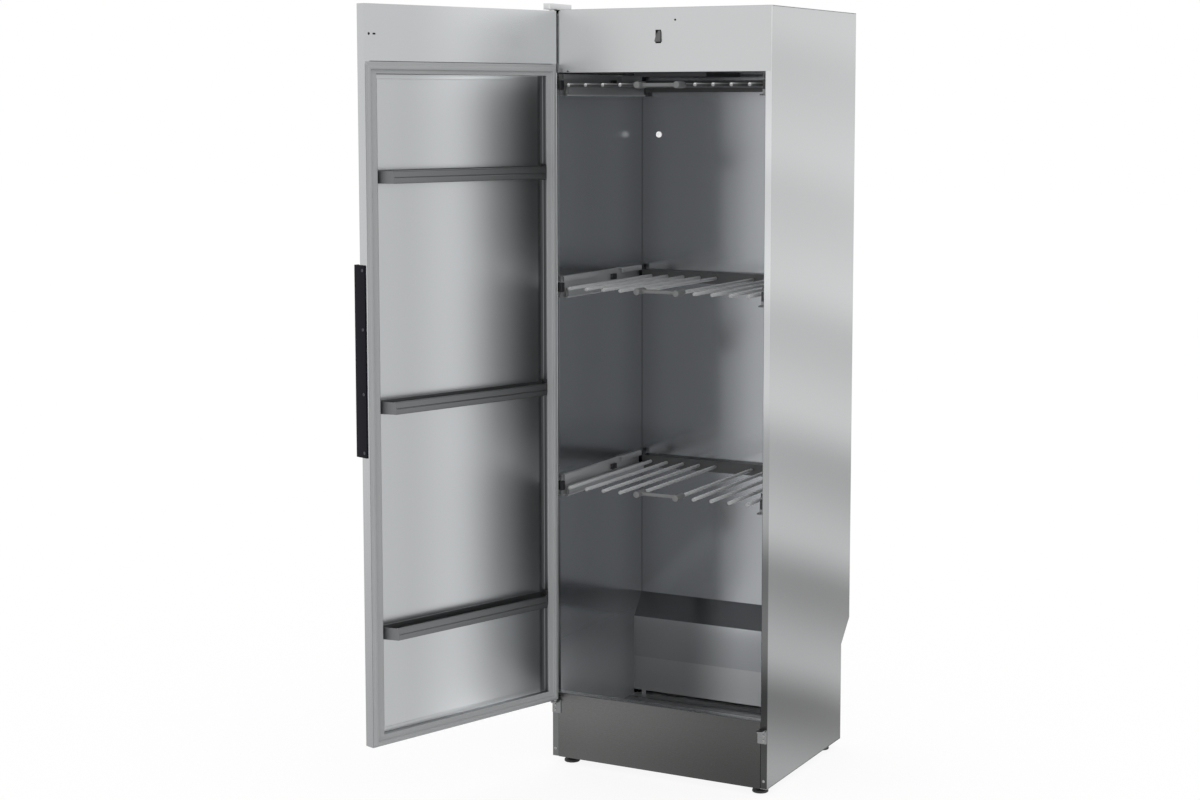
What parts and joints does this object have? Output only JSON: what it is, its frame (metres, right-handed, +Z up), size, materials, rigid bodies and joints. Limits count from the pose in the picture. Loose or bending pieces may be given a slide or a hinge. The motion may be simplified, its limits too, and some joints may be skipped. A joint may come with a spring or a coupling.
{
  "type": "drying cabinet",
  "caption": "Tall drying cabinet with a side-hung door, pull-out hanger frames with rods, glove trays inside the door and a warm-air unit in the roof.",
  "frame": {"origin": "on the floor under the middle of the body's footprint", "axes": "+Z up, -Y to the front of the cabinet, +X to the right seen from the front"},
  "size_m": [0.8027, 1.098, 1.915],
  "materials": {
    "painted_sheet": "fine-grained stainless look, satin",
    "brushed_sheet": "brushed stainless steel, satin",
    "galvanised_sheet": "galvanised, dull",
    "liner_sheet": "brushed stainless steel, reflective",
    "door_liner": "brushed stainless steel, satin",
    "tray_sheet": "rolled steel, satin",
    "rail_sheet": "galvanised steel, satin",
    "carriage_sheet": "satin steel",
    "rod_steel": "polished",
    "pin_steel": "ground",
    "screw_steel": "zinc plated",
    "screw_dark": "black oxide",
    "cast_hinge": "cast, bead blasted",
    "bright_bracket": "zinc plated",
    "motor_metal": "painted casting",
    "heater_metal": "heat tinted",
    "foot_plastic": "matt",
    "black_plastic": "matt",
    "white_plastic": "fine texture",
    "filter_plastic": "matt",
    "fan_plastic": "matt",
    "seal_rubber": "matt",
    "core_foam": "foam",
    "handle_black": "black lacquer",
    "panel_plastic": "glossy",
    "window_glass": "dark window",
    "board_laminate": "laminate",
    "button_plastic": "satin",
    "grip_plastic": "moulded, matt"
  },
  "bodies": {
    "cabinet": {"side_panel_left": "painted_sheet", "side_panel_right": "painted_sheet", "top_panel": "galvanised_sheet", "rear_panel": "galvanised_sheet", "base_pan": "galvanised_sheet", "kick_plate": "brushed_sheet", "fascia": "painted_sheet", "liner_left": "liner_sheet", "liner_right": "liner_sheet", "liner_back": "liner_sheet", "air_outlet_panel": "liner_sheet", "ceiling_panel": "liner_sheet", "drip_floor": "liner_sheet", "levelling_feet": "foot_plastic", "hinge_arm": "cast_hinge", "hinge_bracket": "bright_bracket", "spare_bracket": "bright_bracket", "hinge_pins": "pin_steel", "hanger_rails": "rail_sheet", "rail_clips": "black_plastic", "fan_housing": "galvanised_sheet", "fan_motor": "motor_metal", "heating_element": "heater_metal", "power_box": "white_plastic", "exhaust_collar": "galvanised_sheet", "power_inlet": "black_plastic", "switch_housing": "black_plastic", "humidity_sensor": "white_plastic", "body_screws": "screw_steel", "lint_filter": "filter_plastic"},
    "door": {"door_pan": "painted_sheet", "door_inner_panel": "door_liner", "door_head_panel": "painted_sheet", "door_seal": "seal_rubber", "door_core": "core_foam", "tray_top": "tray_sheet", "tray_middle": "tray_sheet", "tray_bottom": "tray_sheet", "tray_end_clips": "black_plastic", "door_handle": "handle_black", "handle_screws": "screw_dark", "hinge_bushes": "white_plastic", "control_panel": "panel_plastic", "display_window": "window_glass", "control_board": "board_laminate"},
    "fan_wheel": {"impeller": "fan_plastic", "fan_shaft": "pin_steel"},
    "door_switch": {"switch_lever": "black_plastic"},
    "hanger_top": {"rods_top": "rod_steel", "carriage_top": "carriage_sheet", "grip_top": "grip_plastic"},
    "hanger_middle": {"rods_middle": "rod_steel", "carriage_middle": "carriage_sheet", "grip_middle": "grip_plastic"},
    "hanger_bottom": {"rods_bottom": "rod_steel", "carriage_bottom": "carriage_sheet", "grip_bottom": "grip_plastic"},
    "power_button": {"power_button": "button_plastic"},
    "program_button": {"program_button": "button_plastic"},
    "start_button": {"start_button": "button_plastic"}
  },
  "joints": [
    {"name": "door_hinge", "type": "hinge", "parent": "cabinet", "child": "door", "pos_m": [-0.2845, -0.279, 0], "axis": [0, 0, 1], "range_deg": [0, 108.23]},
    {"name": "hanger_top_slide", "type": "slide", "parent": "cabinet", "child": "hanger_top", "axis": [0, 1, 0], "range_m": [-0.3, 0]},
    {"name": "hanger_middle_slide", "type": "slide", "parent": "cabinet", "child": "hanger_middle", "axis": [0, 1, 0], "range_m": [-0.3, 0]},
    {"name": "hanger_bottom_slide", "type": "slide", "parent": "cabinet", "child": "hanger_bottom", "axis": [0, 1, 0], "range_m": [-0.3, 0]},
    {"name": "fan_spin", "type": "hinge", "parent": "cabinet", "child": "fan_wheel", "pos_m": [-0.06, 0.02, 1.786], "axis": [0, 0, 1], "continuous": true},
    {"name": "switch_press", "type": "hinge", "parent": "cabinet", "child": "door_switch", "pos_m": [0, -0.256, 1.84], "axis": [1, 0, 0], "range_deg": [0, 15], "stiffness_Nm_per_rad": 0.2},
    {"name": "power_press", "type": "slide", "parent": "door", "child": "power_button", "axis": [0.9498, -0.3128, 0], "range_m": [0, 0.001], "stiffness_N_per_m": 400},
    {"name": "program_press", "type": "slide", "parent": "door", "child": "program_button", "axis": [0.9498, -0.3128, 0], "range_m": [0, 0.001], "stiffness_N_per_m": 400},
    {"name": "start_press", "type": "slide", "parent": "door", "child": "start_button", "axis": [0.9498, -0.3128, 0], "range_m": [0, 0.001], "stiffness_N_per_m": 400}
  ]
}
